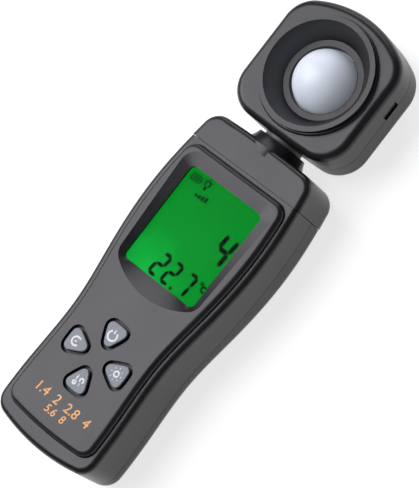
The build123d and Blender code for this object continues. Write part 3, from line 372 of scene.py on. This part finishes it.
# The signs: a cell with three bars of charge, a lamp, a row of range blocks and a degree sign.
signs = []
cell_left, cell_foot, cell_length, cell_height = -0.0158, 0.0129, 0.0042, 0.0024
cell_right, cell_top, cell_middle = cell_left + cell_length, cell_foot + cell_height, cell_foot + 0.0012
signs.append(stroke([(cell_left, cell_foot), (cell_right, cell_foot), (cell_right, cell_top),
                     (cell_left, cell_top), (cell_left, cell_foot)], 0.00024))
signs.append(stroke([(cell_left + 0.0044, cell_middle), (cell_left + 0.0049, cell_middle)], 0.00065))
for bar in (0.0010, 0.0021, 0.0032):
    signs.append(stroke([(cell_left + bar, cell_foot + 0.0005), (cell_left + bar, cell_foot + 0.0019)],
                        0.00033))
lamp = np.array((-0.0085, 0.0147))
signs.append(stroke(arc(lamp, 0.0011, -60, 240), 0.00031))
signs.append(stroke([lamp - (0, 0.0011), lamp - (0, 0.0026)], 0.00048))
for ray in (30, 90, 150):
    away = np.array([cos(radians(ray)), sin(radians(ray))])
    signs.append(stroke([lamp + away * 0.0017, lamp + away * 0.0023], 0.00026))
block_foot = 0.0087
for block in range(4):
    left = -0.0098 + block * 0.0015
    block_top = block_foot + 0.0010 + 0.0004 * block
    signs.append(stroke([(left, block_foot), (left + 0.0003, block_top)], 0.00048))
degree = np.array((0.0137, -0.0140))
signs.append(stroke(arc(degree, 0.00050, 0, 360), 0.00026))
signs.append(stroke(arc(degree + (0.0017, -0.0014), 0.0010, 50, 310), 0.00032))
material, add, join, shader, place = blank("darkened_crystal")
patch = add("TexNoise", {"Scale": 700.0, "Detail": 2.0})
join(place, patch.inputs["Vector"])
join(shades(add, join, patch.outputs["Fac"],
            [(0.3, (0.0008, 0.0030, 0.0016)), (0.7, (0.0016, 0.0055, 0.0028))]), shader.inputs["Base Color"])
join(spread(add, join, patch.outputs["Fac"], 0.55, 0.65), shader.inputs["Roughness"])
shader.inputs["Specular IOR Level"].default_value = 0.05
solid("display_figures", figures, material, "handset")
solid("display_signs", signs, material, "handset")

# Display window: clear acrylic 0.8 mm thick with an anti-glare face, bonded into the panel from
# behind.
material, add, join, shader, place = blank("window_acrylic")
haze = add("TexNoise", {"Scale": 240.0, "Detail": 2.0})
join(place, haze.inputs["Vector"])
join(spread(add, join, haze.outputs["Fac"], 0.0, 0.004), shader.inputs["Roughness"])
shader.inputs["Base Color"].default_value = (0.97, 1.0, 0.98, 1.0)
shader.inputs["Transmission Weight"].default_value = 1.0
shader.inputs["IOR"].default_value = 1.04
dress(material, "display_window")

# Keypad mat: one moulded sheet of black silicone rubber held under the panel, with a dome under
# each key that springs it back.
dress(moulded("keypad_silicone", (0.010, 0.010, 0.011), (0.6, 0.75), 2600.0, 1.2e-5), "keypad_mat")

# Front casing: the front half of the handset, the same black ABS as the back, its face swept
# down to the sides by a broad rounding. It closes on the rear half along a fine line.
dress(moulded("front_casing_satin", shell_black, (0.29, 0.35), 4200.0, 5e-6), "front_casing")

# Top cap: a separate band of the same plastic across the head of the handset, which carries
# the collar of the swivel.
dress(moulded("top_cap_satin", shell_black, (0.29, 0.35), 4200.0, 5e-6), "top_cap")

# Face panel: one moulding let into the front casing, with the sloped dish round the window and
# four wells for the keys. Its grain is a shade finer than the casing's.
dress(moulded("face_panel_satin", (0.0095, 0.0092, 0.0106), (0.30, 0.36), 5200.0, 4e-6),
      "face_panel")

# Keys: four rounded triangles with their points to the middle, hard caps sprayed silver-grey.
# The paint holds fine flakes, so the caps are speckled. Below a line just inside the well their colour is
# black, as painted shade in the well round each key.
cap_grey = (0.215, 0.235, 0.26)
# Below this height the key is painted black: painted shade in the well round the cap.
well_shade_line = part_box("face_panel")[1].z - 0.0006
material, add, join, shader, place = blank("key_silver_paint")
flakes = add("TexNoise", {"Scale": 3600.0, "Detail": 2.0, "Roughness": 0.8})
join(place, flakes.inputs["Vector"])
flecks = shades(add, join, flakes.outputs["Fac"], [
    (0.34, tuple(c * 0.62 for c in cap_grey)), (0.5, cap_grey), (0.68, tuple(c * 1.35 for c in cap_grey))])
height = add("SeparateXYZ")
join(place, height.inputs["Vector"])
grey_above_well_shade = add("MapRange", {"From Min": well_shade_line - 0.0001, "From Max": well_shade_line + 0.0001})
join(height.outputs["Z"], grey_above_well_shade.inputs["Value"])
# Black below the line is painted shade in the well, and speckled grey above it is the cap's paint.
cap_and_well_shade = add("Mix", data_type="RGBA")
cap_and_well_shade.inputs["A"].default_value = (0.004, 0.004, 0.0045, 1.0)
join(grey_above_well_shade.outputs["Result"], cap_and_well_shade.inputs["Factor"])
join(flecks, cap_and_well_shade.inputs["B"])
join(cap_and_well_shade.outputs["Result"], shader.inputs["Base Color"])
join(spread(add, join, flakes.outputs["Fac"], 0.42, 0.55), shader.inputs["Roughness"])
bump = add("Bump", {"Strength": 1.0, "Distance": 1.4e-5})
join(flakes.outputs["Fac"], bump.inputs["Height"])
join(bump.outputs["Normal"], shader.inputs["Normal"])
dress(material, "power_key", "mode_key", "unit_key", "temperature_key")

# Key marks: raised white signs, moulded through each cap from a second shot of plastic: standby
# on the top key, a turning arrow on the left, a sun on the right, a bulb tube and lamp at the foot.
mark_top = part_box("power_key")[1].z
mark_base = mark_top - 4e-5
mark_rise = 1.6e-4
round_bar = tuple((cos(radians(a)), max(0.0, sin(radians(a)))) for a in range(0, 181, 20))


def middle(node):
    """Middle of a key's box, seen from the front."""
    low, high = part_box(node)
    return np.array([(low.x + high.x) / 2, (low.y + high.y) / 2])


def raised(points, half):
    """Round-topped line through the points, its two ends drawn in to a point."""
    points = np.asarray(points, float)
    widths = np.full(len(points), half)
    widths[[0, -1]] = half * 0.35
    return carried(points, widths, round_bar, mark_base, mark_rise)


white_mark = moulded("key_mark_white", (0.80, 0.82, 0.84), (0.34, 0.44), 3000.0, 4e-6, gain=0.05)
at = middle("power_key") + (0.0, -0.0002)
solid("power_mark", [
    raised(arc(at, 0.00185, 125, 415, 40), 0.00042),
    raised([at + (0, 0.0006), at + (0, 0.0013), at + (0, 0.0026)], 0.00044),
], white_mark, "power_key", smooth=True)
at = middle("mode_key") + (-0.0006, 0.0)
solid("mode_mark", [
    raised(arc(at, 0.00165, 60, 330, 40), 0.00040),
    raised([at + (0.0002, 0.0020), at + (0.0011, 0.0013), at + (0.0013, 0.0024)], 0.00038),
    raised([at + (-0.0006, -0.0001), at + (0.0, -0.0001), at + (0.0008, -0.0001)], 0.00038),
], white_mark, "mode_key", smooth=True)
at = middle("unit_key") + (0.0007, 0.0)
rays = [raised([at + np.array([cos(radians(a)), sin(radians(a))]) * r for r in (0.0019, 0.0022, 0.0026)],
               0.00031) for a in range(0, 360, 45)]
solid("unit_mark", [raised(arc(at, 0.0010, 0, 360, 28), 0.00038)] + rays,
      white_mark, "unit_key", smooth=True)
at = middle("temperature_key") + (0.0, -0.0004)
solid("temperature_mark", [
    raised(arc(at + (-0.0010, -0.0014), 0.00062, 60, 480, 26), 0.00036),
    raised([at + (-0.0010, -0.0008), at + (-0.0010, 0.0006), at + (-0.0010, 0.0018)], 0.00044),
    raised(arc(at + (0.0012, 0.0005), 0.00078, -55, 235, 26), 0.00036),
    raised([at + (0.0009, -0.0009), at + (0.0012, -0.0009), at + (0.0015, -0.0009)], 0.00036),
    raised([at + (0.0009, -0.0015), at + (0.0012, -0.0015), at + (0.0015, -0.0015)], 0.00031),
], white_mark, "temperature_key", smooth=True)

# Panel print: two rows of plain stop numbers in orange ink, pad-printed on the panel below the
# keys. The ink lies a few hundredths of a millimetre thick and its edges are slightly broken.
panel_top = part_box("face_panel")[1].z
ink_size = 0.0052
material, add, join, shader, place = blank("orange_ink")
worn = add("TexNoise", {"Scale": 1800.0, "Detail": 3.0})
join(place, worn.inputs["Vector"])
join(shades(add, join, worn.outputs["Fac"], [(0.32, (0.70, 0.29, 0.075)), (0.55, (0.95, 0.45, 0.14))]),
     shader.inputs["Base Color"])
join(spread(add, join, worn.outputs["Fac"], 0.42, 0.55), shader.inputs["Roughness"])
for name, words, row_y, size in (("scale_print_upper", "1.4  2  2.8  4", -0.0782, ink_size),
                                 ("scale_print_lower", "5.6  8", -0.0822, ink_size * 0.8)):
    letters = bpy.data.curves.new(name, "FONT")
    letters.body, letters.size, letters.align_x = words, size, "CENTER"
    letters.offset, letters.shear, letters.extrude = 0.00005, 0.12, 1.5e-5
    writer = bpy.data.objects.new(name + "_writer", letters)
    bpy.context.scene.collection.objects.link(writer)
    bpy.context.view_layer.update()
    mesh = bpy.data.meshes.new_from_object(writer.evaluated_get(bpy.context.evaluated_depsgraph_get()))
    bpy.data.objects.remove(writer)
    mesh.name = name
    mesh.transform(Matrix.Translation((0.0003, row_y, panel_top + 1.5e-5)))
    tidy(mesh)
    mesh.materials.clear()
    mesh.materials.append(material)
    shape = bpy.data.objects.new(name, mesh)
    bpy.context.scene.collection.objects.link(shape)
    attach(shape, "handset")

# Battery door: a plate in the same black ABS that slides off towards the foot, ribbed under the
# thumb. It is handled more, so its skin is slightly smoother.
dress(moulded("battery_door_satin", (0.0085, 0.0082, 0.0096), (0.30, 0.38), 4200.0, 6e-6),
      "battery_door")

# Rating label: a bare plate of brushed silver foil in a shallow recess of the back, its fine
# brush lines running across.
material, add, join, shader, place = blank("label_foil")
drawn = add("Mapping", {"Scale": (0.03, 1.0, 1.0)})
join(place, drawn.inputs["Vector"])
brush = add("TexNoise", {"Scale": 5200.0, "Detail": 3.0, "Roughness": 0.65})
join(drawn.outputs["Vector"], brush.inputs["Vector"])
join(shades(add, join, brush.outputs["Fac"], [(0.3, (0.38, 0.38, 0.39)), (0.7, (0.55, 0.55, 0.56))]),
     shader.inputs["Base Color"])
shader.inputs["Metallic"].default_value = 0.8
join(spread(add, join, brush.outputs["Fac"], 0.30, 0.46), shader.inputs["Roughness"])
bump = add("Bump", {"Strength": 1.0, "Distance": 3e-6})
join(brush.outputs["Fac"], bump.inputs["Height"])
join(bump.outputs["Normal"], shader.inputs["Normal"])
dress(material, "rating_label")

# Casing screws: self-tapping steel screws blackened by oxide, driven from the back into the
# bosses of the front casing.
dress(plated("screw_black_oxide", (0.055, 0.055, 0.060), 0.38, 2200.0, (1.0, 1.0, 0.3)), "casing_screws")

# Swivel: a hollow spindle of black acetal through the top cap, kept by a steel clip and a waved
# washer below, with a grey washer that the head turns on.
dress(moulded("spindle_acetal", (0.012, 0.012, 0.013), (0.28, 0.38), 3000.0, 4e-6),
      "swivel_spindle")
dress(moulded("washer_nylon", (0.10, 0.10, 0.105), (0.35, 0.5), 2600.0, 8e-6), "swivel_washer")
dress(plated("clip_steel", (0.50, 0.50, 0.51), 0.28, 2600.0, (0.2, 1.0, 1.0)),
      "retaining_clip", "spring_washer")

# Leads and plug: three wires in one grey vinyl jacket, in two lengths, down through the spindle
# to a cream nylon plug on the main board.
dress(moulded("lead_vinyl", (0.17, 0.17, 0.175), (0.42, 0.55), 1500.0, 1.5e-5),
      "head_lead", "main_lead")
dress(moulded("plug_nylon", (0.55, 0.53, 0.48), (0.35, 0.45), 2600.0, 6e-6, gain=0.08), "lead_plug")

# Head shells: the sensor head is two mouldings of the same black ABS that meet half way through
# its thickness. The front one carries the collar and the funnel round the dome.
dress(moulded("head_front_satin", shell_black, (0.29, 0.35), 4200.0, 5e-6), "head_front_shell")
dress(moulded("head_rear_satin", shell_black, (0.33, 0.40), 4200.0, 6e-6), "head_rear_shell")
dress(plated("head_screw_zinc", (0.40, 0.41, 0.43), 0.32, 2200.0, (1.0, 1.0, 0.3)),
      "head_screws", "sensor_screws")

# Sensor board, holder, filter and cell: the light cell is soldered to a small board behind a
# green correcting filter in a black holder.
dress(circuit("sensor_board_resist", (0.010, 0.080, 0.028), (0.03, 0.18, 0.065), 420.0), "sensor_board")
dress(moulded("sensor_holder_black", (0.010, 0.010, 0.011), (0.5, 0.65), 3000.0, 8e-6),
      "sensor_holder")
filter_glass = moulded("filter_glass_green", (0.05, 0.22, 0.09), (0.08, 0.14), 1500.0, 2e-6)
filter_glass.node_tree.nodes["Principled BSDF"].inputs["Transmission Weight"].default_value = 0.6
dress(filter_glass, "colour_filter")
dress(moulded("light_cell_silicon", (0.016, 0.018, 0.030), (0.12, 0.2), 1500.0, 2e-6), "photodiode")

# Bezel ring: a turned-looking ring of grey-black plastic snapped in round the dome, with a flat
# land and a rounded inner lip.
dress(moulded("bezel_ring_satin", (0.016, 0.0157, 0.018), (0.36, 0.44), 4200.0, 5e-6), "bezel_ring")

# Dome diffuser: a hemisphere of opal acrylic. Light goes a millimetre or two into it before it
# comes back, so its shading is soft. A faint painted glow of its own stands for the light that
# has crossed the whole dome and lightens its side in shade, and the skin has a faint sheen.
material, add, join, shader, place = blank("dome_opal")
cloud = add("TexNoise", {"Scale": 130.0, "Detail": 3.0, "Roughness": 0.5})
join(place, cloud.inputs["Vector"])
join(shades(add, join, cloud.outputs["Fac"], [(0.3, (0.70, 0.745, 0.83)), (0.7, (0.75, 0.80, 0.88))]),
     shader.inputs["Base Color"])
join(spread(add, join, cloud.outputs["Fac"], 0.34, 0.44), shader.inputs["Roughness"])
shader.inputs["Subsurface Weight"].default_value = 0.5
shader.inputs["Subsurface Radius"].default_value = (1.0, 0.95, 0.9)
shader.inputs["Subsurface Scale"].default_value = 0.002
# Painted glow: the dome gives off a little light of its own, which lightens its side in shade.
shader.inputs["Emission Color"].default_value = (0.86, 0.92, 1.0, 1.0)
shader.inputs["Emission Strength"].default_value = 0.10
pitting = add("TexNoise", {"Scale": 2600.0, "Detail": 2.0})
join(place, pitting.inputs["Vector"])
bump = add("Bump", {"Strength": 1.0, "Distance": 3e-6})
join(pitting.outputs["Fac"], bump.inputs["Height"])
join(bump.outputs["Normal"], shader.inputs["Normal"])
dress(material, "dome_diffuser")

# Floor: a broad sheet of white paper, far wider than the meter, for it to lie on. It glows a
# little, so that shadows on it stay soft and pale.
floor_half = 3.0
material, add, join, shader, place = blank("paper_white")
fibres = add("TexNoise", {"Scale": 60.0, "Detail": 4.0})
join(place, fibres.inputs["Vector"])
join(shades(add, join, fibres.outputs["Fac"], [(0.3, (0.50, 0.50, 0.50)), (0.7, (0.53, 0.53, 0.53))]),
     shader.inputs["Base Color"])
shader.inputs["Roughness"].default_value = 0.8
shader.inputs["Specular IOR Level"].default_value = 0.1
shader.inputs["Emission Color"].default_value = (1.0, 1.0, 1.0, 1.0)
shader.inputs["Emission Strength"].default_value = 0.74
mesh = bpy.data.meshes.new("floor")
mesh.from_pydata([(-floor_half, -floor_half, 0), (floor_half, -floor_half, 0), (floor_half, floor_half, 0),
                  (-floor_half, floor_half, 0)], [], [(0, 1, 2, 3)])
mesh.transform(Matrix.Translation((0, 0, cad_box[0].z - 0.0001)))
mesh.materials.append(material)
floor = bpy.data.objects.new("floor", mesh)
bpy.context.scene.collection.objects.link(floor)

# Camera: in front and to the right of the meter, rolled so that the meter leans.
aim = Vector((0.0003, -0.0015, 0.0147))
sideways, upward, far = radians(27.44), radians(0.10), 0.900
back = Vector((sin(sideways) * cos(upward), sin(upward), cos(sideways) * cos(upward)))
lean = radians(37.54)
level_right = Vector((0, 1, 0)).cross(back).normalized()
level_up = back.cross(level_right)
right = level_right * cos(lean) + level_up * sin(lean)
up = level_up * cos(lean) - level_right * sin(lean)
lens = bpy.data.cameras.new("camera")
lens.lens, lens.sensor_width, lens.sensor_fit = 188.8, 36.0, "AUTO"
lens.clip_start, lens.clip_end = 0.01, 20.0
camera = bpy.data.objects.new("camera", lens)
bpy.context.scene.collection.objects.link(camera)
turn = Matrix((right, up, back)).transposed()
camera.matrix_world = Matrix.Translation(aim + back * far) @ turn.to_4x4()
bpy.context.scene.camera = camera


# Light: a broad soft box to the left of the lens axis, whose reflection makes the front faces
# pale, a weaker one from the head end, and an even pale room.
def softbox(name, toward, distance, width, height, watts):
    """Rectangular light at a distance along a direction from the aim, facing the aim."""
    lamp_data = bpy.data.lights.new(name, "AREA")
    lamp_data.shape, lamp_data.energy = "RECTANGLE", watts
    lamp_data.size, lamp_data.size_y = width, height
    lamp_data.color = (0.955, 0.94, 1.0)
    holder = bpy.data.objects.new(name, lamp_data)
    bpy.context.scene.collection.objects.link(holder)
    direction = Vector(toward).normalized()
    turned = direction.to_track_quat("Z", "Y").to_matrix().to_4x4()
    holder.matrix_world = Matrix.Translation(aim + direction * distance) @ turned


softbox("key_softbox", (-0.56, -0.10, 0.83), 0.9, 0.72, 0.9, 9.7)
softbox("head_softbox", (-0.42, 0.82, 0.38), 1.2, 0.7, 0.5, 3.0)
world = bpy.data.worlds.new("room")
bpy.context.scene.world = world
world.use_nodes = True
world.node_tree.nodes["Background"].inputs["Color"].default_value = (0.95, 0.97, 1.0, 1.0)
world.node_tree.nodes["Background"].inputs["Strength"].default_value = 0.14
bpy.context.scene.view_settings.view_transform = "Standard"
bpy.context.scene.view_settings.look = "None"
